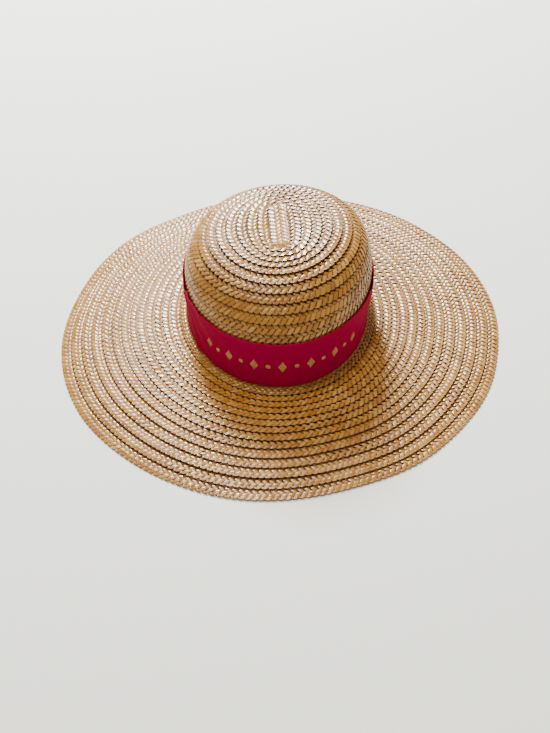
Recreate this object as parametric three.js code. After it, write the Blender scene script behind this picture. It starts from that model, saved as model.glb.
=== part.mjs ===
import * as THREE from 'three';
import { mergeVertices } from 'three/addons/utils/BufferGeometryUtils.js';

// Wide-brimmed straw hat, in millimetres and degrees, +Z up, at rest on its rim.
// The origin is on the surface that it rests on, under the middle of the rim.
// The front is -Y. Angles run round the oval from the right side, +X, by the back, +Y.

// Head opening and crown: a higher squareness is a flatter tip and a tighter shoulder
const headHalfWidth = 79.5;
const headHalfLength = 104.4;
const crownHeight = 91.8;
const sideSquareness = 5;
const endSquareness = 2.8;
const tipStripHalfWidth = 10;
const tipShiftRight = 6.2;
const tipShiftForward = 6.2;

// The rise of the crown's base and of its tip, to the right and to the back
const baseRiseRight = -1.2;
const baseRiseBack = 2.8;
const tipRiseRight = 1.8;
const tipRiseBack = 0.9;

// How far the band draws each side of the crown in at the base, and up to which height
const bandPull = 2.8;
const bandPullHeight = 46;

// Straw plait: one thickness, and how far each course's outer edge stands over the next
const plaitThickness = 1.6;
const lapRise = 0.8;

// Brim: its reach past the crown seen from above, its rise from rim to crown, and how the
// crown's base sits over the rim's middle
const brimWidth = 112.8;
const brimRise = 19.4;
const baseShiftRight = -0.3;
const baseShiftBack = 0.7;
const restingRingWidth = 4;

// Cloth band
const bandBottom = 4.8;
const bandHeight = 41;
const bandThickness = 1;
const bandEase = 0.4;
const bandSlack = 0.2;
const bandLapLength = 24;
const bandSeamAngle = 90;

const pieceGap = 0.3;

// Courses of the crown from the tip's middle strip out, each one's width as a share of the
// way from the strip to the base
const crownCourses = [
  { count: 5, share: 0.0597 },
  { count: 11, share: 0.0615 },
  { count: 1, share: 0.025 },
];

// Courses of the brim from the crown out, each one's width as a share of the brim's
const brimCourses = [
  { count: 7, share: 0.064 },
  { count: 2, share: 0.072 },
  { count: 5, share: 0.0816 },
];

// The brim's fall from crown to rim, by angle: arch is how far its middle stands over
// a straight line, as a share of the brim's width
const brimArches = [
  { angle: 0, arch: 0.003 },
  { angle: 45, arch: 0 },
  { angle: 90, arch: 0.011 },
  { angle: 135, arch: 0.03 },
  { angle: 180, arch: 0.046 },
  { angle: 225, arch: 0.05 },
  { angle: 270, arch: 0.038 },
  { angle: 315, arch: 0.019 },
];

// Waves of the rim, as shares of the brim's width: out is reach past the oval, and
// lift is height over the surface
const rimWaves = [
  { angle: 0, spread: 18, out: 0.012, lift: 0 },
  { angle: 18, spread: 22, out: 0.006, lift: 0.008 },
  { angle: 50, spread: 20, out: 0.004, lift: 0 },
  { angle: 115, spread: 24, out: -0.014, lift: 0 },
  { angle: 136, spread: 22, out: 0.002, lift: 0.016 },
  { angle: 164, spread: 18, out: -0.01, lift: 0 },
  { angle: 225, spread: 20, out: -0.009, lift: 0 },
  { angle: 256, spread: 18, out: 0.012, lift: 0 },
  { angle: 270, spread: 90, out: -0.012, lift: 0 },
  { angle: 285, spread: 18, out: -0.012, lift: 0 },
  { angle: 301, spread: 20, out: 0.015, lift: 0 },
  { angle: 328, spread: 22, out: 0.012, lift: 0 },
];

// Facets round the oval, and rows on the smooth faces
const segments = 60;
const crownInnerRows = 10;
const brimUnderRows = 8;
const bandRows = 4;

const plaitWall = plaitThickness + lapRise;
const oblong = headHalfLength - headHalfWidth;
const turn = THREE.MathUtils.degToRad;

const straw = { color: 0xc9a36a, roughness: 0.5, metalness: 0 };
const bandCloth = { color: 0xb01040, roughness: 0.75, metalness: 0 };

// The crown's inner face from the tip's middle (0) to the head opening (1)
class CrownProfile extends THREE.Curve {
  constructor(squareness) {
    super();
    this.power = 2 / squareness;
  }

  getPoint(t, target = new THREE.Vector2()) {
    const halfWidth = headHalfWidth * Math.sin(t * Math.PI / 2) ** this.power;
    const height = (crownHeight - plaitWall) * Math.cos(t * Math.PI / 2) ** this.power;
    return target.set(halfWidth, height);
  }

  // A point at a share of the profile's length, at a distance out from the inner face
  outFrom(share, distance) {
    const point = this.getPointAt(share);
    const along = this.getTangentAt(share);
    const halfWidth = share === 0 ? 0 : point.x - along.y * distance;
    const height = share === 1 ? 0 : point.y + along.x * distance;
    return { halfWidth, height };
  }
}
const sideProfile = new CrownProfile(sideSquareness);
const endProfile = new CrownProfile(endSquareness);

// The slope between the base's and the tip's, at a share of the crown's height
function slopeAt(level, base, tip) {
  return Math.tan(turn(THREE.MathUtils.lerp(base, tip, level ** 2)));
}

// Sets a point of the crown over the brim, which draws its sides in, slopes and shifts it
function seat(x, y, height) {
  const level = height / crownHeight;
  const loose = THREE.MathUtils.smoothstep(height, bandPullHeight * 0.3, bandPullHeight);
  const drawn = x * (1 - bandPull / headHalfWidth * (1 - loose));
  const riseRight = x * slopeAt(level, baseRiseRight, tipRiseRight);
  const riseBack = y * slopeAt(level, baseRiseBack, tipRiseBack);
  return new THREE.Vector3(
    drawn + baseShiftRight + tipShiftRight * level,
    y + baseShiftBack - tipShiftForward * level,
    brimRise + plaitWall + height + riseRight + riseBack,
  );
}

// A point of an oval: its half length is longer than its half width by the same distance
function ovalPoint(angle, halfWidth, height) {
  return new THREE.Vector3(halfWidth * Math.cos(angle), (halfWidth + oblong) * Math.sin(angle), height);
}

function ovalAngles() {
  return Array.from({ length: segments }, (_, i) => 2 * Math.PI * i / segments);
}

// Joins rings of points, outer face first, into one closed mesh
function meshFromRings(name, rings, closed, finish) {
  const positions = rings.flat().flatMap((point) => point.toArray());
  const faces = [];
  const bands = closed ? rings.length : rings.length - 1;
  for (let row = 0; row < bands; row += 1) {
    const next = (row + 1) % rings.length;
    for (let i = 0; i < segments; i += 1) {
      const j = (i + 1) % segments;
      const [a, b] = [row * segments + i, next * segments + i];
      const [c, d] = [next * segments + j, row * segments + j];
      faces.push(a, b, c, a, c, d);
    }
  }
  const geometry = new THREE.BufferGeometry();
  geometry.setAttribute('position', new THREE.Float32BufferAttribute(positions, 3));
  geometry.setIndex(faces);
  const mesh = new THREE.Mesh(mergeVertices(geometry), new THREE.MeshStandardMaterial(finish));
  mesh.geometry.computeVertexNormals();
  mesh.name = name;
  return mesh;
}

// One oval row of the crown, at a share of the way down and a distance over the inner face
function crownRing(share, distance) {
  const side = sideProfile.outFrom(share, distance);
  const end = endProfile.outFrom(share, distance);
  return ovalAngles().map((angle) => {
    const x = side.halfWidth * Math.cos(angle);
    const y = (end.halfWidth + oblong) * Math.sin(angle);
    return seat(x, y, side.height * Math.cos(angle) ** 2 + end.height * Math.sin(angle) ** 2);
  });
}

// Where each course ends, as shares of the whole way
function courseEnds(table) {
  const ends = [];
  for (const row of table) {
    for (let course = 0; course < row.count; course += 1) ends.push((ends.at(-1) ?? 0) + row.share);
  }
  return ends.map((end) => end / ends.at(-1));
}

function makeCrown() {
  const stripShare = tipStripHalfWidth / sideProfile.getLength();
  const rings = [crownRing(0, plaitWall), crownRing(stripShare, plaitWall)];
  let start = stripShare;
  for (const end of courseEnds(crownCourses)) {
    rings.push(crownRing(start, plaitThickness));
    start = stripShare + (1 - stripShare) * end;
    rings.push(crownRing(start, plaitWall));
  }
  for (let row = crownInnerRows; row >= 0; row -= 1) rings.push(crownRing(row / crownInnerRows, 0));
  return meshFromRings('crown', rings, false, straw);
}

// A smooth hump, 1 at its middle angle and 0 past its spread
function hump(angle, middle, spread) {
  const away = Math.abs(THREE.MathUtils.euclideanModulo(angle - middle + Math.PI, 2 * Math.PI) - Math.PI);
  return away < spread ? Math.cos(away / spread * Math.PI / 2) ** 2 : 0;
}

function brimArch(angle) {
  const spacing = 2 * Math.PI / brimArches.length;
  const shares = brimArches.map((row) => row.arch * hump(angle, turn(row.angle), spacing));
  return brimWidth * shares.reduce((sum, share) => sum + share);
}

function rimWave(angle, column) {
  const shares = rimWaves.map((row) => row[column] * hump(angle, turn(row.angle), turn(row.spread)));
  return brimWidth * shares.reduce((sum, share) => sum + share);
}

// The brim's edge under the crown's wall, along the crown's leaning base
function brimRoot(angle, wall, rise) {
  const point = ovalPoint(angle, headHalfWidth + wall, rise - plaitWall - pieceGap);
  return seat(point.x, point.y, point.z);
}

// A point of the brim at a share of the way from crown to rim, at a rise over its underside
function brimPoint(angle, share, rise) {
  const root = brimRoot(angle, plaitWall, rise);
  const reach = headHalfWidth + plaitWall + brimWidth + rimWave(angle, 'out');
  const rim = ovalPoint(angle, reach, rimWave(angle, 'lift') + rise);
  const point = root.lerp(rim, share);
  point.z += 4 * brimArch(angle) * share * (1 - share);
  return point;
}

function brimRing(share, rise) {
  return ovalAngles().map((angle) => brimPoint(angle, share, rise));
}

// The ring by which the hat rests, level with the rim's underside
function restingRing() {
  const share = 1 - restingRingWidth / brimWidth;
  return ovalAngles().map((angle) => brimPoint(angle, share, 0).setZ(rimWave(angle, 'lift')));
}

function makeBrim() {
  const rings = [ovalAngles().map((angle) => brimRoot(angle, 0, plaitWall)), brimRing(0, plaitWall)];
  let start = 0;
  for (const end of courseEnds(brimCourses)) {
    rings.push(brimRing(start, plaitThickness), brimRing(end, plaitWall));
    start = end;
  }
  rings.push(brimRing(1, 0), restingRing());
  for (let row = brimUnderRows - 1; row >= 0; row -= 1) rings.push(brimRing(row / brimUnderRows, 0));
  rings.push(ovalAngles().map((angle) => brimRoot(angle, 0, 0)));
  return meshFromRings('brim', rings, true, straw);
}

// The crown's half width over its courses' raised edges, at a height over the head opening
function crownHalfWidthAt(height, squareness) {
  const level = Math.min(height / (crownHeight - plaitWall), 1);
  return headHalfWidth * (1 - level ** squareness) ** (1 / squareness) + plaitWall;
}

// One oval row of the band, at a share of its height and a distance out from its inner face
function bandRing(share, distance) {
  const height = bandBottom + bandHeight * share;
  const stand = bandEase + bandSlack * share ** 2 + distance;
  const lapAngle = bandLapLength / 2 / (headHalfWidth + plaitWall);
  return ovalAngles().map((angle) => {
    const lapped = distance > 0 && Math.abs(angle - turn(bandSeamAngle)) < lapAngle;
    const out = stand + (lapped ? bandThickness : 0);
    const x = (crownHalfWidthAt(height, sideSquareness) + out) * Math.cos(angle);
    const y = (crownHalfWidthAt(height, endSquareness) + oblong + out) * Math.sin(angle);
    return seat(x, y, height);
  });
}

function makeHatBand() {
  const rings = [];
  for (let row = bandRows; row >= 0; row -= 1) rings.push(bandRing(row / bandRows, bandThickness));
  for (let row = 0; row <= bandRows; row += 1) rings.push(bandRing(row / bandRows, 0));
  return meshFromRings('hat_band', rings, true, bandCloth);
}

const hat = new THREE.Group();
hat.add(makeCrown(), makeBrim(), makeHatBand());

// The origin goes under the middle of the rim, at the height of the surface
const extent = new THREE.Box3().setFromObject(hat);
const middle = extent.getCenter(new THREE.Vector3());
hat.position.set(-middle.x, -middle.y, -extent.min.z);
hat.updateMatrixWorld(true);

export default hat;
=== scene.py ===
import math

import bpy
import numpy as np
from mathutils import Matrix, Vector


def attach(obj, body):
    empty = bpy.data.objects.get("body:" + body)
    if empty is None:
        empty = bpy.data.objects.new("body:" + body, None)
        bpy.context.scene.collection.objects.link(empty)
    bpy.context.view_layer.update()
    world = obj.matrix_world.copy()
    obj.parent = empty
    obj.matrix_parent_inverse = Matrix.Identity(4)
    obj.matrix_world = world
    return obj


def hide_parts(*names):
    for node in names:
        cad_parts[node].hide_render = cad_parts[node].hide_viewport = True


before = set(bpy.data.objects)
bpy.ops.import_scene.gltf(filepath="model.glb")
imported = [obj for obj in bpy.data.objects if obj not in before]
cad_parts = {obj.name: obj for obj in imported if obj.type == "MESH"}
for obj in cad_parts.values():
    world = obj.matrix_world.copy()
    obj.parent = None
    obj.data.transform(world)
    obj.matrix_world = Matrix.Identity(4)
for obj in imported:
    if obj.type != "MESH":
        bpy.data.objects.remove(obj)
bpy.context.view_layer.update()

# Sizes are in metres, and angles run round the hat from its right side, +X, by the back, +Y.


# Camera
view = {
    "place": (-0.02803, -0.92670, 0.71815),
    "back": (-0.018607, -0.771473, 0.635990),
    "right": (0.996866, -0.063234, -0.047539),
    "up": (0.076891, 0.633112, 0.770232),
    "focalPixels": 1300,  # focal length, in pixels of a picture 733 high
    "pictureHeight": 733,
    "sensor": 36,
    "nearest": 0.01,
}


def newObject(name, data):
    made = bpy.data.objects.new(name, data)
    bpy.context.scene.collection.objects.link(made)
    return made


def makeCamera():
    data = bpy.data.cameras.new("camera")
    data.sensor_fit = "VERTICAL"
    data.sensor_height = view["sensor"]
    data.lens = view["focalPixels"] / view["pictureHeight"] * view["sensor"]
    data.clip_start = view["nearest"]
    camera = newObject("camera", data)
    turned = Matrix((view["right"], view["up"], view["back"])).transposed()
    camera.matrix_world = Matrix.Translation(view["place"]) @ turned.to_4x4()
    bpy.context.scene.camera = camera
    print("camera: lens of", round(data.lens, 1), "mm")


makeCamera()


# A node's output socket, which takes part in Python expressions
class Wire:
    def __init__(self, tree, socket):
        self.tree = tree
        self.socket = socket

    # Another output of the same node
    def output(self, name):
        return Wire(self.tree, self.socket.node.outputs[name])

    def math(self, operation, *values):
        return self.tree.node("ShaderNodeMath", {"operation": operation}, dict(enumerate(values)))

    def __add__(self, other):
        return self.math("ADD", self, other)

    def __radd__(self, other):
        return self.math("ADD", other, self)

    def __sub__(self, other):
        return self.math("SUBTRACT", self, other)

    def __rsub__(self, other):
        return self.math("SUBTRACT", other, self)

    def __mul__(self, other):
        return self.math("MULTIPLY", self, other)

    def __rmul__(self, other):
        return self.math("MULTIPLY", other, self)

    def __truediv__(self, other):
        return self.math("DIVIDE", self, other)

    def __rtruediv__(self, other):
        return self.math("DIVIDE", other, self)

    def __pow__(self, other):
        return self.math("POWER", self, other)

    def __rpow__(self, other):
        return self.math("POWER", other, self)

    def __gt__(self, other):
        return self.math("GREATER_THAN", self, other)

    def __lt__(self, other):
        return self.math("LESS_THAN", self, other)

    def __abs__(self):
        return self.math("ABSOLUTE", self)

    def fraction(self):
        return self.math("FRACT", self)

    def floor(self):
        return self.math("FLOOR", self)

    def cosine(self):
        return self.math("COSINE", self)


class Tree:
    def __init__(self, nodeTree):
        self.nodeTree = nodeTree

    # Adds one node: its settings first, then the values or wires of its sockets
    def node(self, kind, settings=None, values=None, output=0):
        made = self.nodeTree.nodes.new(kind)
        for name, setting in (settings or {}).items():
            if name == "stops":
                self.setStops(made.color_ramp, setting)
            else:
                setattr(made, name, setting)
        for name, value in (values or {}).items():
            if isinstance(value, Wire):
                self.nodeTree.links.new(value.socket, made.inputs[name])
            else:
                made.inputs[name].default_value = value
        return Wire(self, made.outputs[output]) if made.outputs else None

    def setStops(self, ramp, stops):
        while len(ramp.elements) < len(stops):
            ramp.elements.new(0.5)
        for element, (position, colour) in zip(ramp.elements, stops):
            element.position = position
            element.color = (*colour, 1)

    def vectors(self, operation, *values):
        return self.node("ShaderNodeVectorMath", {"operation": operation}, dict(enumerate(values)))

    def scaled(self, vector, factor):
        return self.node("ShaderNodeVectorMath", {"operation": "SCALE"}, {0: vector, "Scale": factor})

    def attribute(self, name, kind="FLOAT"):
        return self.node("GeometryNodeInputNamedAttribute", {"data_type": kind}, {"Name": name})

    # Stores values on the points of a geometry, under their names
    def stored(self, geometry, columns, kind="FLOAT"):
        for name, value in columns.items():
            geometry = self.node(
                "GeometryNodeStoreNamedAttribute", {"data_type": kind, "domain": "POINT"},
                {"Geometry": geometry, "Name": name, "Value": value},
            )
        return geometry


def socketKind(value):
    if isinstance(value, bpy.types.Material):
        return "NodeSocketMaterial"
    return "NodeSocketInt" if isinstance(value, int) else "NodeSocketFloat"


# A geometry tree with an input for each named value, and the wires that come from them
def newGeometryTree(name, inputs):
    nodeTree = bpy.data.node_groups.new(name, "GeometryNodeTree")
    geometry = "NodeSocketGeometry"
    nodeTree.interface.new_socket("Geometry", in_out="INPUT", socket_type=geometry)
    for label, value in inputs.items():
        nodeTree.interface.new_socket(label, in_out="INPUT", socket_type=socketKind(value))
    nodeTree.interface.new_socket("Geometry", in_out="OUTPUT", socket_type=geometry)
    tree = Tree(nodeTree)
    groupInput = tree.node("NodeGroupInput")
    wires = {label: groupInput.output(label) for label in ("Geometry", *inputs)}
    return tree, wires


smoothBelow = 0.8  # radians: an edge that bends less is shaded smooth


def finishGeometryTree(tree, geometry, material):
    bend = tree.node("GeometryNodeInputMeshEdgeAngle")
    smooth = tree.node(
        "GeometryNodeSetShadeSmooth", {"domain": "EDGE"},
        {"Geometry": geometry, "Shade Smooth": bend < smoothBelow},
    )
    whole = tree.node("GeometryNodeRealizeInstances", {}, {"Geometry": smooth})
    coated = tree.node("GeometryNodeSetMaterial", {}, {"Geometry": whole, "Material": material})
    tree.node("NodeGroupOutput", {}, {0: coated})
    return tree.nodeTree


# Runs a tree on a guide mesh, and keeps the result as a plain mesh
def grow(name, guideMesh, nodeTree, inputs):
    guide = newObject(name + "_guide", guideMesh)
    modifier = guide.modifiers.new("grow", "NODES")
    modifier.node_group = nodeTree
    for item in nodeTree.interface.items_tree:
        if item.in_out == "INPUT" and item.name in inputs:
            modifier[item.identifier] = inputs[item.name]
    bpy.context.view_layer.update()
    graph = bpy.context.evaluated_depsgraph_get()
    mesh = bpy.data.meshes.new_from_object(
        guide.evaluated_get(graph), preserve_all_data_layers=True, depsgraph=graph
    )
    bpy.data.objects.remove(guide)
    mesh.name = name
    print(name, len(mesh.polygons), "faces")
    return newObject(name, mesh)


# Stores one number or one vector for each point of a mesh
def storeColumn(mesh, name, values):
    kind, field = ("FLOAT", "value") if values.ndim == 1 else ("FLOAT_VECTOR", "vector")
    attribute = mesh.attributes.new(name, kind, "POINT")
    attribute.data.foreach_set(field, values.astype(np.float32).ravel())


# Shape of the hat
hatShape = {
    "headHalfWidth": 0.0795,
    "headHalfLength": 0.1044,
    "crownHeight": 0.0918,
    "sideSquareness": 5.0,
    "endSquareness": 2.8,
    # shifts, and rises in degrees, of the crown's base and tip, to the right and to the back
    "baseShift": (-0.0003, 0.0007),
    "tipShift": (0.0062, -0.0062),
    "baseRise": (-1.2, 2.8),
    "tipRise": (1.8, 0.9),
    "bandPull": 0.0028,  # the band draws each side of the base in by this much
    "bandPullHeight": 0.046,
    "bandPullFull": 0.3,  # the share of that height up to which it pulls in full
    "tipStretch": 0.020,  # how far the innermost courses keep straight sides
    "tipStretchEnd": 0.060,
    "wall": 0.0024,
    "brimWidth": 0.1128,
    "brimRise": 0.0194,
    "pieceGap": 0.0003,
    # the brim's middle over a straight fall, every 45 degrees, as shares of its width
    "arches": (0.003, 0, 0.011, 0.03, 0.046, 0.05, 0.038, 0.019),
    # waves of the rim: angle, spread, and reach and lift as shares of the brim's width
    "waves": (
        (0, 18, 0.012, 0),
        (18, 22, 0.006, 0.008),
        (50, 20, 0.004, 0),
        (115, 24, -0.014, 0),
        (136, 22, 0.002, 0.016),
        (164, 18, -0.010, 0),
        (225, 20, -0.009, 0),
        (256, 18, 0.012, 0),
        (270, 90, -0.012, 0),
        (285, 18, -0.012, 0),
        (301, 20, 0.015, 0),
        (328, 22, 0.012, 0),
    ),
}
oblong = hatShape["headHalfLength"] - hatShape["headHalfWidth"]
innerHeight = hatShape["crownHeight"] - hatShape["wall"]


# The crown's inner face, seen from an end or a side, by the way down from the tip's middle
class CrownProfile:
    samples = 4001
    step = 2e-4  # each way along the face, to find how it lies

    def __init__(self, squareness):
        turn = np.linspace(0, 1, self.samples) * math.pi / 2
        self.width = hatShape["headHalfWidth"] * np.sin(turn) ** (2 / squareness)
        self.height = innerHeight * np.abs(np.cos(turn)) ** (2 / squareness)
        steps = np.hypot(np.diff(self.width), np.diff(self.height))
        self.length = np.concatenate([[0], np.cumsum(steps)])

    def at(self, along, column):
        return np.interp(along, self.length, column)

    # Half width and height at a way down, at a rise over the inner face
    def outFrom(self, away, rise):
        along = np.abs(away)
        before = np.clip(along - self.step, 0, self.length[-1])
        after = np.clip(along + self.step, 0, self.length[-1])
        widthStep = self.at(after, self.width) - self.at(before, self.width)
        heightStep = self.at(after, self.height) - self.at(before, self.height)
        size = np.hypot(widthStep, heightStep)
        width = self.at(along, self.width) - heightStep / size * rise
        height = self.at(along, self.height) + widthStep / size * rise
        return np.where(away < 0, -width, width), height


sideProfile = CrownProfile(hatShape["sideSquareness"])
endProfile = CrownProfile(hatShape["endSquareness"])


def smoothStep(value):
    value = np.clip(value, 0, 1)
    return value * value * (3 - 2 * value)


# Sets points of the crown over the brim, which draws its sides in, slopes and shifts it
def seat(x, y, height):
    level = height / hatShape["crownHeight"]
    pullHeight = hatShape["bandPullHeight"]
    full = hatShape["bandPullFull"]
    drawn = 1 - smoothStep((height - full * pullHeight) / ((1 - full) * pullHeight))
    slopes = [
        np.tan(np.radians(base + (tip - base) * level**2))
        for base, tip in zip(hatShape["baseRise"], hatShape["tipRise"])
    ]
    return np.stack([
        x * (1 - hatShape["bandPull"] / hatShape["headHalfWidth"] * drawn)
        + hatShape["baseShift"][0] + hatShape["tipShift"][0] * level,
        y + hatShape["baseShift"][1] + hatShape["tipShift"][1] * level,
        hatShape["brimRise"] + hatShape["wall"] + height + x * slopes[0] + y * slopes[1],
    ], axis=-1)


# A point of the crown, by the ways down from the tip's middle at the hat's sides and ends.
# A course that is not far from the middle keeps straight sides.
def crownPoint(angle, sideAway, endAway, rise, courseAway=1.0):
    side, sideHeight = sideProfile.outFrom(sideAway, rise)
    end, endHeight = endProfile.outFrom(endAway, rise)
    fade = np.clip(1 - courseAway / hatShape["tipStretchEnd"], 0, 1) ** 2
    sharpness = 1 + hatShape["tipStretch"] / courseAway * fade
    folded = np.arcsin(np.sin(angle))
    middle = oblong * np.sin(np.clip(folded * sharpness, -math.pi / 2, math.pi / 2))
    height = sideHeight * np.cos(angle) ** 2 + endHeight * np.sin(angle) ** 2
    return seat(side * np.cos(angle), end * np.sin(angle) + middle, height)


# How far an angle is from another, in radians, the shorter way round
def turnAway(angle, degrees):
    return np.abs((angle - math.radians(degrees) + math.pi) % (2 * math.pi) - math.pi)


# A smooth hump, 1 at its middle angle and 0 past its spread
def hump(angle, middle, spread):
    away = turnAway(angle, middle)
    spread = math.radians(spread)
    return np.where(away < spread, np.cos(away / spread * math.pi / 2) ** 2, 0)


def brimArch(angle):
    arches = hatShape["arches"]
    spacing = 360 / len(arches)
    shares = [arch * hump(angle, spacing * i, spacing) for i, arch in enumerate(arches)]
    return hatShape["brimWidth"] * sum(shares)


# How far the waves of the rim reach out, and how far they lift it
def rimWaves(angle):
    reach = 0
    lift = 0
    for middle, spread, reachShare, liftShare in hatShape["waves"]:
        wave = hump(angle, middle, spread)
        reach = reach + reachShare * wave
        lift = lift + liftShare * wave
    return hatShape["brimWidth"] * reach, hatShape["brimWidth"] * lift


# A point of the brim at a share of the way from crown to rim, at a rise over its underside
def brimPoint(angle, share, rise):
    rootWidth = hatShape["headHalfWidth"] + hatShape["wall"]
    rootHeight = rise - hatShape["wall"] - hatShape["pieceGap"]
    root = seat(rootWidth * np.cos(angle), (rootWidth + oblong) * np.sin(angle), rootHeight)
    waveReach, waveLift = rimWaves(angle)
    reach = rootWidth + hatShape["brimWidth"] + waveReach
    rim = np.stack([
        reach * np.cos(angle), (reach + oblong) * np.sin(angle), waveLift + rise,
    ], axis=-1)
    point = root + (rim - root) * share[..., None]
    point[..., 2] += 4 * brimArch(angle) * share * (1 - share)
    return point


def lengthAlong(line):
    return np.concatenate([[0], np.cumsum(np.linalg.norm(np.diff(line, axis=0), axis=1))])


# The origin is under the middle of the rim
roundAngles = np.linspace(0, 2 * math.pi, 721)
rimLine = brimPoint(roundAngles, np.ones_like(roundAngles), np.zeros_like(roundAngles))
rimMiddle = (rimLine.min(axis=0) + rimLine.max(axis=0)) / 2
rimMiddle[2] = 0
print("hat shape: rim middle", np.round(rimMiddle * 1000, 2))


# Materials
def newMaterial(name):
    material = bpy.data.materials.new(name)
    material.use_nodes = True
    material.node_tree.nodes.clear()
    return material, Tree(material.node_tree)


def finishMaterial(tree, values):
    shader = tree.node("ShaderNodeBsdfPrincipled", {}, values)
    tree.node("ShaderNodeOutputMaterial", {}, {"Surface": shader})


# Noise over the piece's own space
def noise(tree, scale, detail):
    place = tree.node("ShaderNodeTexCoord", output=3)
    return tree.node("ShaderNodeTexNoise", {}, {"Vector": place, "Scale": scale, "Detail": detail})


bumpDepth = 0.0002


def bumps(tree, height, strength):
    values = {"Strength": strength, "Distance": bumpDepth, "Height": height}
    return tree.node("ShaderNodeBump", {}, values)


def meshValue(tree, name):
    return tree.node("ShaderNodeAttribute", {"attribute_name": name}, output=2)


# Rises smoothly from 0 where it starts to a top value where it is full
def smoothRise(tree, value, start, full, top):
    return tree.node(
        "ShaderNodeMapRange", {"interpolation_type": "SMOOTHSTEP"},
        {"Value": value, "From Min": start, "From Max": full, "To Min": 0.0, "To Max": top},
    )


strawLook = {
    "colours": (
        (0, (0.30, 0.115, 0.015)),
        (0.5, (0.44, 0.195, 0.030)),
        (1, (0.60, 0.345, 0.095)),
    ),
    # painted shade: the colour of the dark gaps between straws, under crossings and at the foot of each
    # lap
    "paintedShadeColour": (0.085, 0.030, 0.005, 1),
    # how much the colour changes from straw to straw, and from patch to patch
    "tintShare": 0.55,
    "mottleShare": 0.7,
    "mottleScale": 45.0,
    "mottleDetail": 3.0,
    "streakShare": 0.9,
    "streakScale": (6, 160, 50),  # across a straw, along the plait, and from straw to straw
    "streakDetail": 2.0,
    # painted shade, where the straw darkens: at its sides between straws, where it goes under another,
    # and in the foot of the next lap; from where, fully at where, and by how much
    "shadeAtSides": (0.6, 1.0, 0.8),
    "shadeUnder": (0.5, -0.4, 0.5),
    "shadeAtFoot": (0.2, 0.0, 0.72),
    "roughness": 0.13,
    "roughnessSpread": 0.22,  # more at most, from straw to straw
    "roughnessDark": 0.5,
    "reliefStrength": 0.4,
}


def strawMaterial():
    material, tree = newMaterial("straw")
    look = strawLook
    tint = meshValue(tree, "strawTint")
    side = meshValue(tree, "strawSide")
    mottle = noise(tree, look["mottleScale"], look["mottleDetail"])
    # the shades spread round the middle colour
    middleShift = (1 - look["tintShare"] - look["mottleShare"]) / 2
    shade = tint * look["tintShare"] + mottle * look["mottleShare"] + middleShift
    colour = tree.node("ShaderNodeValToRGB", {"stops": look["colours"]}, {0: shade})
    columns = (side, meshValue(tree, "strawAlong"), tint)
    scaled = {i: column * look["streakScale"][i] for i, column in enumerate(columns)}
    streakPlace = tree.node("ShaderNodeCombineXYZ", {}, scaled)
    streak = tree.node(
        "ShaderNodeTexNoise", {},
        {"Vector": streakPlace, "Scale": 1.0, "Detail": look["streakDetail"]},
    )
    # painted shade between straws, under crossings and at the foot of each lap
    sides = smoothRise(tree, abs(side), *look["shadeAtSides"])
    under = smoothRise(tree, meshValue(tree, "strawHeight"), *look["shadeUnder"])
    foot = smoothRise(tree, meshValue(tree, "pastFoot"), *look["shadeAtFoot"])
    paintedShade = sides + under + foot
    # mixes the painted shade, and the streaks' own lighter and darker lines, into the straw's colour
    darkened = tree.node(
        "ShaderNodeMix", {"data_type": "RGBA"},
        {"Factor": paintedShade + (streak - 0.5) * look["streakShare"], 6: colour, 7: look["paintedShadeColour"]},
        output=2,
    )
    gloss = meshValue(tree, "strawGloss") * look["roughnessSpread"]
    finishMaterial(tree, {
        "Base Color": darkened,
        "Roughness": gloss + paintedShade * look["roughnessDark"] + look["roughness"],
        "Normal": bumps(tree, streak, look["reliefStrength"]),
    })
    return material


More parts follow.
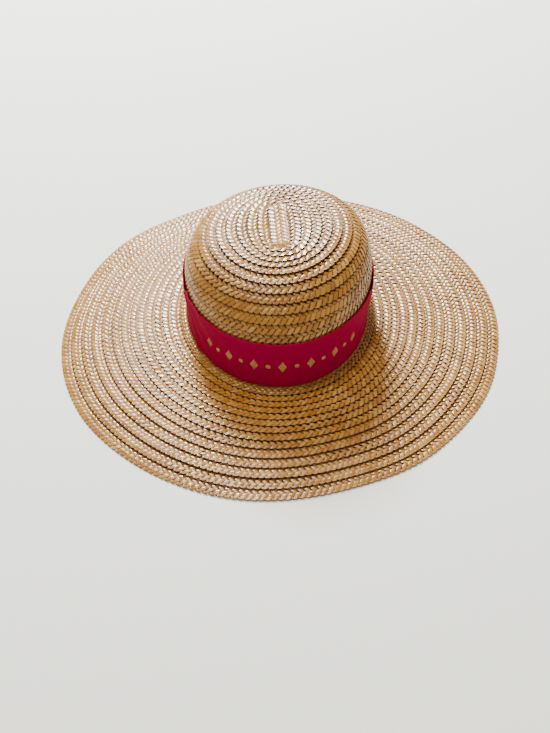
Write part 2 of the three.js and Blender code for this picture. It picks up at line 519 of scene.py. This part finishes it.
# Plaited straw
plait = {
    "strawCount": 4,
    "strawWidth": 0.0052,  # measured along the plait, as it lies at its folds
    "strawThickness": 0.0013,
    "foldTaper": 0.32,  # how much narrower a straw is pinched at its folds
    "widthSpread": 0.14,  # how much narrower than the widest a straw may be, at random
    "tiltHeight": 0.00038,  # how far one side of a straw stands up, and its other side down
    "tiltSpread": 0.6,  # how much less of that a straw may have, at random
    "weaveHeight": 0.00065,
    "foldRise": 0.5,  # how high the folds lie, as a share of the weave's height
    # a straw has points at its folds, past the first of these shares of the plait's half width,
    # and at the corners of its weave, within the second
    "foldFrom": 0.95,
    "cornersTo": 0.8,
    "cornerHeight": math.sqrt(0.5),  # up and down, as a share of the weave's height
    "cornerSpread": 0.1,  # how near to that height a point has to be
    "streakShift": 0.37,  # how far the streaks of one straw are from those of the next
    "plaitLength": 0.0208,  # along the plait, for one straw to cross it and come back
    # the plait is made looser and tighter along its length: how long each wave, how much
    "tightening": ((0.083, 0.07), (0.197, 0.07), (0.43, 0.05)),
    "tighteningFade": 8,  # even; with more, the waves go on nearer to the plait's ends
    "plaitWidth": 0.014,
    "samplesPerLength": 32,
    "innerEdgeHeight": -0.0004,
    "outerEdgeHeight": 0.0023,
    "bandedEdgeHeight": 0.0016,  # the outer edges under the cloth band
    "bandedFrom": 0.055,  # how far up from the base the edges start to fall, and over how much
    "bandedFade": 0.012,
    "rimEdgeHeight": 0.00105,
    "rimCourses": 2,  # the courses over which the outer edges come down to the rim's
    "stepStart": 62,  # the spiral steps out by one course between these angles
    "stepEnd": 104,
    "crownEndSpread": 20,  # degrees more, over which the crown's plait starts and ends
    "startSink": 0.0013,  # how far the plait's start is tucked under
    "endTaper": 0.93,  # how much narrower the plait is at its end
    "baseClimb": 0.0032,  # how far the brim's first course climbs the crown's wall
    "baseStand": 0.0012,  # and how far it stands off that wall's inner face
    "sideLapShade": 0.0010,  # how much wider the painted shade line at each lap is on the crown's sides
    "tipStripEdge": 0.0078,
    "tipStripHeight": 0.0021,
    "tipStripFall": 0.0012,  # how much lower its ends are
    "tipStripBluntness": 0.02,  # keeps its ends from closing to a point
    "tipStripShown": 0.03,  # wider than the strip, because nothing laps over it
    # courses of the crown from the tip's middle strip down: how many, and how much of each
    # shows at the hat's sides and at its ends
    "crownCourses": (
        (1, 0.0097, 0.0056),
        (3, 0.0090, 0.0062),
        (1, 0.0085, 0.0070),
        (1, 0.0083, 0.0091),
        (11, 0.0080, 0.0080),
        (1, 0.0026, 0.0049),
    ),
    # courses of the brim from the crown out: how many, and how much of each shows
    "brimCourses": ((7, 0.00722), (2, 0.00812), (5, 0.00920)),
    # points of the edges that samples are taken from
    "crownPoints": 40000,
    "brimPoints": 60000,
    "tipStripPoints": 2000,
    "seed": 7,
}


# The outer edges of the courses, from the first one out, scaled to end at a length
def courseEdges(start, counts, widths, length):
    edges = np.cumsum([start, *np.repeat(widths, counts)])[1:]
    return edges * length / edges[-1]


# The number of the course at each total angle: it steps up once a turn, at the back
def courseNumber(turns, last):
    window = (plait["stepEnd"] - plait["stepStart"]) / 360
    stepped = np.floor(turns) + smoothStep((turns % 1 - (1 - window)) / window)
    return np.clip(stepped, 0, last)


# A value of each course, read at course numbers between them too
def atCourse(number, values):
    return np.interp(number, np.arange(len(values)), values)


# The angles of a plait that goes round once for each course, with the number of its course,
# how near it is to its end, and how far its start is tucked under
def spiral(last, endTurns, points):
    turns = np.linspace(-endTurns, last + 1, points)
    angle = math.radians(plait["stepEnd"]) + turns * 2 * math.pi
    ending = smoothStep((turns - last - (1 - endTurns)) / endTurns)
    sink = -plait["startSink"] * (1 - smoothStep((turns + endTurns) / endTurns))
    return angle, courseNumber(turns, last), ending, sink


# The inner edge's rise, which comes up to the outer edge's where the plait ends
def innerRise(outerRise, ending, sink):
    rise = plait["innerEdgeHeight"] + sink
    return rise + (outerRise - rise) * ending


# Follows the plait's two edges round the hat, and returns samples along its middle, as many
# for each length of the plait where it is loose as where it is tight.
# The foot of the next lap is at the plait's outer edge less the width that shows.
def samplePlait(innerEdge, outerEdge, shown):
    middle = (innerEdge + outerEdge) / 2
    along = lengthAlong(middle)
    count = int(along[-1] / plait["plaitLength"] * plait["samplesPerLength"])
    even = np.arange(count) * plait["plaitLength"] / plait["samplesPerLength"]
    waves = [
        share * length / math.tau * np.sin(even * math.tau / length)
        for length, share in plait["tightening"]
    ]
    drawn = even + sum(waves) * (1 - (2 * even / along[-1] - 1) ** plait["tighteningFade"])

    def sampled(values):
        return np.stack([np.interp(drawn, along, values[:, i]) for i in range(3)], axis=1)

    middle = sampled(middle) - rimMiddle
    across = sampled((outerEdge - innerEdge) / 2)
    up = np.cross(across, np.gradient(middle, axis=0))
    up /= np.linalg.norm(up, axis=1)[:, None]
    # the foot of the next lap, where the painted shade line at each lap lies
    foot = 1 - 2 * np.interp(drawn, along, shown) / plait["plaitWidth"]
    return {"middle": middle, "across": across, "up": up, "along": even, "foot": foot}


# The strip at the tip's middle, which the spiral goes round
def tipStripSamples():
    edge = plait["tipStripEdge"]
    halfLength = oblong + edge
    y = np.linspace(halfLength, -halfLength, plait["tipStripPoints"])
    ending = np.clip((np.abs(y) - oblong) / edge, 0, 1)
    half = edge * np.sqrt(1 + plait["tipStripBluntness"] - ending**2)
    height = innerHeight + plait["tipStripHeight"] - plait["tipStripFall"] * ending**2
    shown = np.full(len(y), plait["tipStripShown"])
    return samplePlait(seat(half, y, height), seat(-half, y, height), shown)


def crownPlaitSamples():
    firstEdge = plait["tipStripEdge"]
    counts, sideWidths, endWidths = zip(*plait["crownCourses"])
    sideEdges = courseEdges(firstEdge, counts, sideWidths, sideProfile.length[-1])
    endEdges = courseEdges(firstEdge, counts, endWidths, endProfile.length[-1])
    endTurns = (plait["stepEnd"] - plait["stepStart"] + plait["crownEndSpread"]) / 360
    angle, number, ending, sink = spiral(len(sideEdges) - 1, endTurns, plait["crownPoints"])
    width = plait["plaitWidth"] * (1 - plait["endTaper"] * ending)
    sideOuter = atCourse(number, sideEdges)
    endOuter = atCourse(number, endEdges)
    fromBase = sideOuter - sideProfile.length[-1]
    banded = smoothStep((fromBase + plait["bandedFrom"]) / plait["bandedFade"])
    lowering = (plait["outerEdgeHeight"] - plait["bandedEdgeHeight"]) * banded
    outerRise = plait["outerEdgeHeight"] - lowering + sink
    # less shows on the crown's sides, which widens the painted shade line at each lap
    sideShown = atCourse(number, np.diff(sideEdges, prepend=firstEdge)) - plait["sideLapShade"]
    endShown = atCourse(number, np.diff(endEdges, prepend=firstEdge))
    shown = sideShown * np.cos(angle) ** 2 + endShown * np.sin(angle) ** 2
    rise = innerRise(outerRise, ending, sink)
    inner = crownPoint(angle, sideOuter - width, endOuter - width, rise, sideOuter)
    outer = crownPoint(angle, sideOuter, endOuter, outerRise, sideOuter)
    return samplePlait(inner, outer, shown)


def brimPlaitSamples():
    counts, widths = zip(*plait["brimCourses"])
    edges = courseEdges(0, counts, widths, hatShape["brimWidth"])
    last = len(edges) - 1
    endTurns = (plait["stepEnd"] - plait["stepStart"]) / 360
    angle, number, ending, sink = spiral(last, endTurns, plait["brimPoints"])
    outer = atCourse(number, edges)
    inner = outer - plait["plaitWidth"] * (1 - plait["endTaper"] * ending)
    lap = plait["outerEdgeHeight"] - plait["rimEdgeHeight"]
    outerRise = plait["rimEdgeHeight"] + lap * smoothStep((last - number) / plait["rimCourses"]) + sink
    rise = innerRise(outerRise, ending, sink)
    innerEdge = brimPoint(angle, inner / hatShape["brimWidth"], rise)
    outerEdge = brimPoint(angle, outer / hatShape["brimWidth"], outerRise)
    sideAway = sideProfile.length[-1] - plait["baseClimb"]
    endAway = endProfile.length[-1] - plait["baseClimb"]
    onWall = crownPoint(angle, sideAway, endAway, plait["baseStand"] + sink)
    share = smoothStep(number)[:, None]
    # nothing laps over the first course
    shown = atCourse(number, np.concatenate([[plait["plaitWidth"]], np.diff(edges)]))
    return samplePlait(onWall * (1 - share) + innerEdge * share, outerEdge, shown)


def guideMesh(name, samples, first, end):
    places = samples["middle"][first:end]
    mesh = bpy.data.meshes.new(name)
    mesh.from_pydata(places.tolist(), [(i, i + 1) for i in range(len(places) - 1)], [])
    for column in ("across", "up", "along", "foot"):
        storeColumn(mesh, column, samples[column][first:end])
    return mesh


plaitInputs = {
    "Straw Count": plait["strawCount"],
    "Straw Width": plait["strawWidth"],
    "Straw Thickness": plait["strawThickness"],
    "Weave Height": plait["weaveHeight"],
    "Fold Rise": plait["foldRise"],
    "Plait Length": plait["plaitLength"],
    "Fold Taper": plait["foldTaper"],
    "Width Spread": plait["widthSpread"],
    "Tilt Height": plait["tiltHeight"],
    "Tilt Spread": plait["tiltSpread"],
    "Seed": plait["seed"],
    "Material": strawMaterial(),
}


# One tree plaits straws along any guide. A straw runs from edge to edge and back, goes over
# and under those that it crosses, and is folded over at each edge, along a line that follows
# the plait.
def makePlaitTree():
    tree, wires = newGeometryTree("plaitTree", plaitInputs)
    curve = tree.node("GeometryNodeMeshToCurve", {}, {"Mesh": wires["Geometry"]})
    copies = tree.node(
        "GeometryNodeDuplicateElements", {"domain": "SPLINE"},
        {"Geometry": curve, "Amount": wires["Straw Count"]},
    )
    straw = copies.output("Duplicate Index")
    along = tree.attribute("along")
    crossings = (along / wires["Plait Length"] + straw / wires["Straw Count"]) * 2
    # small shifts keep a sample that lies at a fold on one side of it
    phase = (crossings / 2 + 0.0001).fraction()
    crossing = (crossings + 0.001).floor()
    sideways = abs(phase * 2 - 1) * 2 - 1
    returning = phase > 0.5
    weave = (returning * 2 - 1) * (phase * wires["Straw Count"] * (2 * math.pi)).cosine()
    # only points at the folds and at the corners of the weave are kept
    atFold = abs(sideways) > plait["foldFrom"]
    nearCorner = abs(abs(weave) - plait["cornerHeight"]) < plait["cornerSpread"]
    atCorner = nearCorner * (abs(sideways) < plait["cornersTo"])
    kept = tree.node(
        "GeometryNodeDeleteGeometry", {"domain": "POINT"},
        {"Geometry": copies, "Selection": 1 - atFold - atCorner},
    )
    outwards = tree.attribute("across", "FLOAT_VECTOR")
    up = tree.attribute("up", "FLOAT_VECTOR")
    height = weave * (1 - atFold) + atFold * wires["Fold Rise"]
    lift = tree.scaled(up, height * wires["Weave Height"])
    offset = tree.vectors("ADD", tree.scaled(outwards, sideways), lift)
    placed = tree.node("GeometryNodeSetPosition", {}, {"Geometry": kept, "Offset": offset})
    # each straw has its own tint, gloss, width and tilt at each crossing
    chance = tree.node(
        "FunctionNodeRandomValue", {"data_type": "FLOAT_VECTOR"},
        {"ID": crossing * wires["Straw Count"] * 2 + straw, "Seed": wires["Seed"]},
    )
    chances = tree.node("ShaderNodeSeparateXYZ", {}, {0: chance})
    taper = 1 - atFold * wires["Fold Taper"]
    position = tree.node("GeometryNodeInputPosition")
    columns = {
        "strawTint": chances.output(0),
        "strawGloss": chances.output(1),
        "strawTilt": (1 - chances.output(2) * wires["Tilt Spread"]) * (1 - atFold),
        "strawSpread": taper * (1 - chances.output(1) * wires["Width Spread"]),
        "strawAlong": along + straw * plait["streakShift"],
        # strawHeight and pastFoot place the painted shade under crossings and at the foot of each lap
        "strawHeight": height,
        "pastFoot": sideways - tree.attribute("foot"),
        "strawFacing": (1 - returning * 2) * (1 - atFold),
    }
    middles = tree.stored(placed, columns)
    middles = tree.stored(middles, {"strawMiddle": position}, "FLOAT_VECTOR")
    # a flat, four-sided straw is laid out from its middle line
    circle = tree.node(
        "GeometryNodeCurvePrimitiveCircle", {"mode": "RADIUS"}, {"Resolution": 4, "Radius": 1.0}
    )
    sides = tree.node("ShaderNodeSeparateXYZ", {}, {0: position})
    section = tree.stored(circle, {"strawSide": sides, "strawTop": sides.output(1)})
    tube = tree.node(
        "GeometryNodeCurveToMesh", {},
        {"Curve": middles, "Profile Curve": section, "Fill Caps": True},
    )
    lengthways = tree.vectors("NORMALIZE", tree.vectors("CROSS_PRODUCT", outwards, up))
    side = tree.attribute("strawSide")
    beside = side * tree.attribute("strawSpread") * wires["Straw Width"] / 2
    facing = tree.attribute("strawFacing") * tree.attribute("strawTop")
    tilt = side * tree.attribute("strawTilt") * wires["Tilt Height"]
    above = facing * wires["Straw Thickness"] / 2 + tilt
    edges = tree.vectors("ADD", tree.scaled(lengthways, beside), tree.scaled(up, above))
    place = tree.vectors("ADD", tree.attribute("strawMiddle", "FLOAT_VECTOR"), edges)
    shaped = tree.node("GeometryNodeSetPosition", {}, {"Geometry": tube, "Position": place})
    return finishGeometryTree(tree, shaped, wires["Material"])


plaitTree = makePlaitTree()


def makePlait(name, samples, first, end):
    return grow(name, guideMesh(name, samples, first, end), plaitTree, plaitInputs)


crownSamples = crownPlaitSamples()
brimSamples = brimPlaitSamples()
crownHalf = len(crownSamples["along"]) // 2
brimThird = len(brimSamples["along"]) // 3
crownPieces = [
    makePlait("crown_tip_strip", tipStripSamples(), 0, None),
    makePlait("crown_upper_plait", crownSamples, 0, crownHalf + 1),
    makePlait("crown_lower_plait", crownSamples, crownHalf, None),
]
brimPieces = [
    makePlait("brim_inner_plait", brimSamples, 0, brimThird + 1),
    makePlait("brim_middle_plait", brimSamples, brimThird, 2 * brimThird + 1),
    makePlait("brim_outer_plait", brimSamples, 2 * brimThird, None),
]
for piece in crownPieces:
    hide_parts("crown")
for piece in brimPieces:
    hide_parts("brim")
for piece in crownPieces + brimPieces:
    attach(piece, "root")


# Cloth band
band = {
    "bottom": 0.0048,
    "height": 0.041,
    "stand": 0.0004,  # over the straw, at the lower edge
    "slack": 0.0004,  # more at the upper edge
    "thickness": 0.0005,
    "hemHeight": 0.005,
    "hemThickness": 0.00025,
    "hemFade": 0.012,  # the share of the height over which a hem's edge falls away
    "lapLength": 0.024,
    "lapFade": 0.008,  # the radians over which the lap's edges fall away
    "seamAngle": 90,
    "edgeRounding": 0.006,  # how far the folded edges stand out, as a share of the height
    "columns": 720,
    "rows": 41,
    "innerRowStep": 4,  # the inner face has fewer rows
    # creases: angle at mid height, turn from lower to upper edge, spread in degrees, depth
    "creases": (
        (200, -18, 5.0, 0.0012),
        (212, -26, 4.0, 0.0010),
        (228, -30, 5.0, 0.0009),
        (332, 16, 6.0, 0.0007),
    ),
    "colour": (0.315, 0.0, 0.044, 1),
    "roughness": 0.7,
    "specular": 0.05,
    "slubScale": 900.0,
    "slubDetail": 2.0,
    "slubStrength": 0.3,
}


def crownHalfWidthAt(height, squareness):
    level = np.minimum(height / innerHeight, 1)
    return hatShape["headHalfWidth"] * (1 - level**squareness) ** (1 / squareness) + hatShape["wall"]


# A point of the band at a share of its height and a distance out from its inner face
def bandPoint(angle, share, out):
    height = band["bottom"] + band["height"] * share
    out = out + band["stand"] + band["slack"] * share**2
    for middle, turn, spread, depth in band["creases"]:
        out = out + depth * hump(angle, middle + turn * (share - 0.5), spread)
    side = crownHalfWidthAt(height, hatShape["sideSquareness"]) + out
    end = crownHalfWidthAt(height, hatShape["endSquareness"]) + oblong + out
    return seat(side * np.cos(angle), end * np.sin(angle), height) - rimMiddle


# How thick the cloth is: twofold in its hems, and where its ends lap at the back
def bandThickness(angle, share):
    hem = band["hemHeight"] / band["height"]
    inHem = smoothStep((np.abs(share - 0.5) - 0.5 + hem) / band["hemFade"])
    lapAngle = band["lapLength"] / 2 / hatShape["headHalfWidth"]
    inLap = 1 - smoothStep((turnAway(angle, band["seamAngle"]) - lapAngle) / band["lapFade"])
    return band["thickness"] * (1 + inLap) + band["hemThickness"] * inHem


def makeBand():
    columns = band["columns"]
    angles = math.radians(band["seamAngle"]) + np.arange(columns) / columns * 2 * math.pi
    shares = np.linspace(0, 1, band["rows"])
    past = band["edgeRounding"]
    rings = [bandPoint(angles, share, bandThickness(angles, share)) for share in shares]
    rings.append(bandPoint(angles, 1 + past, bandThickness(angles, 1.0) / 2))
    rings += [bandPoint(angles, share, 0.0) for share in shares[::-band["innerRowStep"]]]
    rings.append(bandPoint(angles, -past, bandThickness(angles, 0.0) / 2))
    faces = []
    for row in range(len(rings)):
        above = (row + 1) % len(rings)
        for column in range(columns):
            beside = (column + 1) % columns
            faces.append((
                row * columns + column, row * columns + beside,
                above * columns + beside, above * columns + column,
            ))
    mesh = bpy.data.meshes.new("hat_band_cloth")
    mesh.from_pydata(np.concatenate(rings).tolist(), [], faces)
    mesh.shade_smooth()
    mesh.materials.append(clothMaterial())
    return newObject("hat_band_cloth", mesh)


def clothMaterial():
    material, tree = newMaterial("bandCloth")
    slub = noise(tree, band["slubScale"], band["slubDetail"])
    finishMaterial(tree, {
        "Base Color": band["colour"],
        "Roughness": band["roughness"],
        "Specular IOR Level": band["specular"],
        "Normal": bumps(tree, slub, band["slubStrength"]),
    })
    return material


hatBand = makeBand()
bandMiddle = bandPoint(roundAngles, 0.5, 0.0)


# A row of lozenges with dots between them, sewn in satin stitch along the band's front
stitching = {
    "middleAngle": 268,
    "lozengeCount": 7,
    "spacing": 0.024,  # between the middles of lozenges
    "lozengeThreads": 9,
    "lozengeHeight": 0.0115,
    "lozengeRoundness": 1,  # 1 is a lozenge and 2 is an oval
    "dotThreads": 5,
    "dotHeight": 0.0042,
    "dotRoundness": 2,
    "threadPitch": 0.00075,
    "threadWidth": 0.0008,
    "threadThickness": 0.0006,
    "threadSegments": 8,
    "threadRings": 6,
    "guidePoints": 3601,
    "colours": ((0.3, (0.34, 0.16, 0.04)), (0.7, (0.62, 0.36, 0.12))),
    "sheenScale": 700.0,
    "sheenDetail": 2.0,
    "roughness": 0.25,
    "roughnessSpread": 0.3,  # more at most, where the sheen's noise is high
}


def stitchGuide():
    turns = np.linspace(0, 2 * math.pi, stitching["guidePoints"])
    turns = turns + math.radians(stitching["middleAngle"]) - math.pi
    along = lengthAlong(bandPoint(turns, 0.5, band["thickness"]))
    along -= along[len(along) // 2]
    steps = np.arange(stitching["lozengeCount"] * 2 - 1) - (stitching["lozengeCount"] - 1)
    angles = np.interp(steps * stitching["spacing"] / 2, along, turns)
    places = bandPoint(angles, 0.5, band["thickness"])
    mesh = bpy.data.meshes.new("stitches")
    mesh.from_pydata(places.tolist(), [], [])
    # directions up the band and along it, from points a little way off
    storeColumn(mesh, "upright", bandPoint(angles, 0.6, band["thickness"]) - places)
    storeColumn(mesh, "sideways", bandPoint(angles + 0.01, 0.5, band["thickness"]) - places)
    storeColumn(mesh, "isDot", np.arange(len(steps)) % 2)
    return mesh


def threadMaterial():
    material, tree = newMaterial("goldThread")
    sheen = noise(tree, stitching["sheenScale"], stitching["sheenDetail"])
    colour = tree.node("ShaderNodeValToRGB", {"stops": stitching["colours"]}, {0: sheen})
    roughness = sheen * stitching["roughnessSpread"] + stitching["roughness"]
    finishMaterial(tree, {"Base Color": colour, "Roughness": roughness})
    return material


stitchInputs = {
    "Lozenge Height": stitching["lozengeHeight"],
    "Dot Height": stitching["dotHeight"],
    "Thread Pitch": stitching["threadPitch"],
    "Thread Width": stitching["threadWidth"],
    "Thread Thickness": stitching["threadThickness"],
    "Material": threadMaterial(),
}


# Each motif is a line of upright threads, longest in the middle
def addMotif(tree, wires, threads, height, roundness):
    line = tree.node(
        "GeometryNodeMeshLine", {"mode": "OFFSET"},
        {"Count": threads, "Start Location": (0, 0, 0), "Offset": (1, 0, 0)},
    )
    fromMiddle = tree.node("GeometryNodeInputIndex") - (threads - 1) / 2
    away = abs(fromMiddle) / ((threads + 1) / 2)
    length = (1 - away**roundness) ** (1 / roundness) * height
    thread = tree.node(
        "GeometryNodeMeshUVSphere", {},
        {"Segments": stitching["threadSegments"], "Rings": stitching["threadRings"], "Radius": 0.5},
    )
    size = tree.node(
        "ShaderNodeCombineXYZ", {},
        {0: wires["Thread Width"], 1: wires["Thread Thickness"], 2: length},
    )
    place = tree.node("ShaderNodeCombineXYZ", {}, {0: fromMiddle * wires["Thread Pitch"]})
    placed = tree.node("GeometryNodeSetPosition", {}, {"Geometry": line, "Position": place})
    return tree.node(
        "GeometryNodeInstanceOnPoints", {}, {"Points": placed, "Instance": thread, "Scale": size}
    )


def makeStitchTree():
    tree, wires = newGeometryTree("stitchTree", stitchInputs)
    lozenge = addMotif(
        tree, wires, stitching["lozengeThreads"], wires["Lozenge Height"], stitching["lozengeRoundness"]
    )
    dot = addMotif(tree, wires, stitching["dotThreads"], wires["Dot Height"], stitching["dotRoundness"])
    turn = tree.node(
        "FunctionNodeAxesToRotation", {"primary_axis": "Z", "secondary_axis": "X"},
        {
            "Primary Axis": tree.attribute("upright", "FLOAT_VECTOR"),
            "Secondary Axis": tree.attribute("sideways", "FLOAT_VECTOR"),
        },
    )
    isDot = tree.attribute("isDot")
    both = tree.node("GeometryNodeJoinGeometry")
    for motif, chosen in ((lozenge, isDot < 0.5), (dot, isDot > 0.5)):
        row = tree.node(
            "GeometryNodeInstanceOnPoints", {},
            {"Points": wires["Geometry"], "Instance": motif, "Selection": chosen, "Rotation": turn},
        )
        tree.nodeTree.links.new(row.socket, both.socket.node.inputs[0])
    whole = tree.node("GeometryNodeRealizeInstances", {}, {"Geometry": both})
    return finishGeometryTree(tree, whole, wires["Material"])


stitches = grow("hat_band_stitches", stitchGuide(), makeStitchTree(), stitchInputs)
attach(stitches, "root")
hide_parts("hat_band")
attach(hatBand, "root")
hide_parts("hat_band")


# Floor and lights
studio = {
    "floorSize": 8.0,
    "floorColour": (0.88, 0.895, 0.91, 1),
    "floorRoughness": 0.9,
    "worldStrength": 0.42,
    "worldColour": (1.0, 0.82, 0.58, 1),
    # lights: place, size across, power and colour
    "lights": {
        "key": ((-0.2, 1.8, 1.52), 0.65, 157, (0.97, 1.0, 0.97)),
        "top": ((-0.1, 0.1, 2.0), 0.6, 30, (1.0, 0.97, 0.80)),
    },
}


def makeFloor():
    half = studio["floorSize"] / 2
    corners = [(-half, -half, 0), (half, -half, 0), (half, half, 0), (-half, half, 0)]
    mesh = bpy.data.meshes.new("floor")
    mesh.from_pydata(corners, [], [(0, 1, 2, 3)])
    material, tree = newMaterial("floor")
    finishMaterial(tree, {
        "Base Color": studio["floorColour"], "Roughness": studio["floorRoughness"],
    })
    mesh.materials.append(material)
    newObject("floor", mesh)


def makeLight(name, place, size, power, colour):
    data = bpy.data.lights.new(name, "AREA")
    data.shape = "DISK"
    data.size = size
    data.energy = power
    data.color = colour
    light = newObject(name, data)
    light.location = place
    light.rotation_euler = (-Vector(place)).to_track_quat("-Z", "Y").to_euler()


def makeWorld():
    world = bpy.data.worlds.new("world")
    world.use_nodes = True
    background = world.node_tree.nodes["Background"]
    background.inputs["Strength"].default_value = studio["worldStrength"]
    background.inputs["Color"].default_value = studio["worldColour"]
    bpy.context.scene.world = world


makeFloor()
for lightName, settings in studio["lights"].items():
    makeLight(lightName, *settings)
makeWorld()
print("studio: floor, world and", len(studio["lights"]), "lights")
